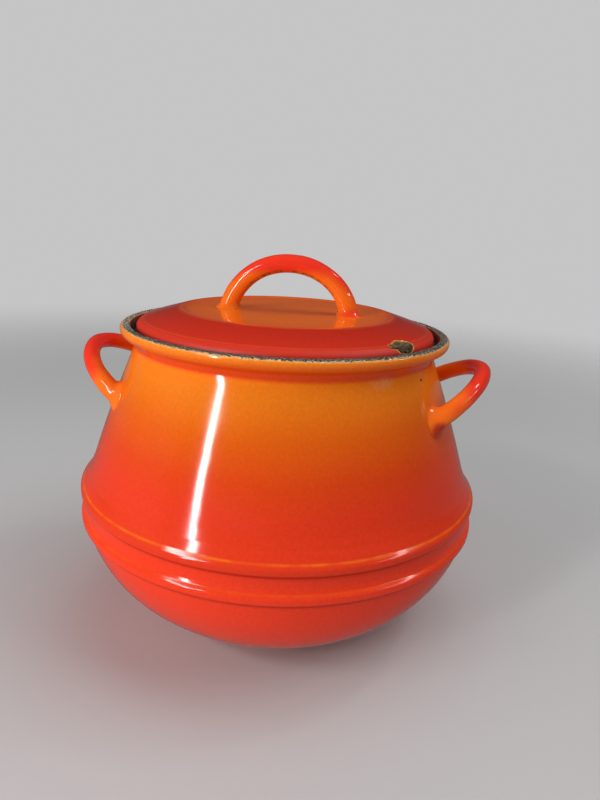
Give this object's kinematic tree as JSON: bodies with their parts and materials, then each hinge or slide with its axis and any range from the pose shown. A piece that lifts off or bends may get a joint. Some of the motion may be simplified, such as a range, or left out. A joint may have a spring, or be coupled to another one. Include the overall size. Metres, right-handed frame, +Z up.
{
  "type": "dutch oven",
  "caption": "Round-bellied enamelled cast iron dutch oven with two bead rings, looped side handles, a flared rim and a drop-in lid with an arched bar handle.",
  "frame": {"origin": "centre of the foot ring, on the surface that the pot stands on", "axes": "+Z up; the side loops point along +X and -X, and the lid's arch lies in the XZ plane"},
  "size_m": [0.2294, 0.2278, 0.206],
  "materials": {
    "flame_enamel": "glossy vitreous enamel over cast iron, bright orange at the neck deepening to red-orange at the belly, bare iron on the rim's top",
    "loop_enamel": "glossy red-orange vitreous enamel over cast iron",
    "lid_enamel": "glossy red vitreous enamel over cast iron, browner on the central disc, chipped at the edge",
    "arch_enamel": "glossy red-orange vitreous enamel over cast iron",
    "dark_enamel": "satin dark charcoal enamel of the inside",
    "bare_iron": "bare worn iron of the foot ring"
  },
  "bodies": {
    "pot": {"pot_body": "flame_enamel", "side_loop_right": "loop_enamel", "side_loop_left": "loop_enamel"},
    "lid": {"lid_body": "lid_enamel", "lid_arch": "arch_enamel"}
  },
  "joints": [
    {"name": "lid_lift", "type": "slide", "parent": "pot", "child": "lid", "axis": [0, 0, 1], "range_m": [0, 0.12]}
  ]
}
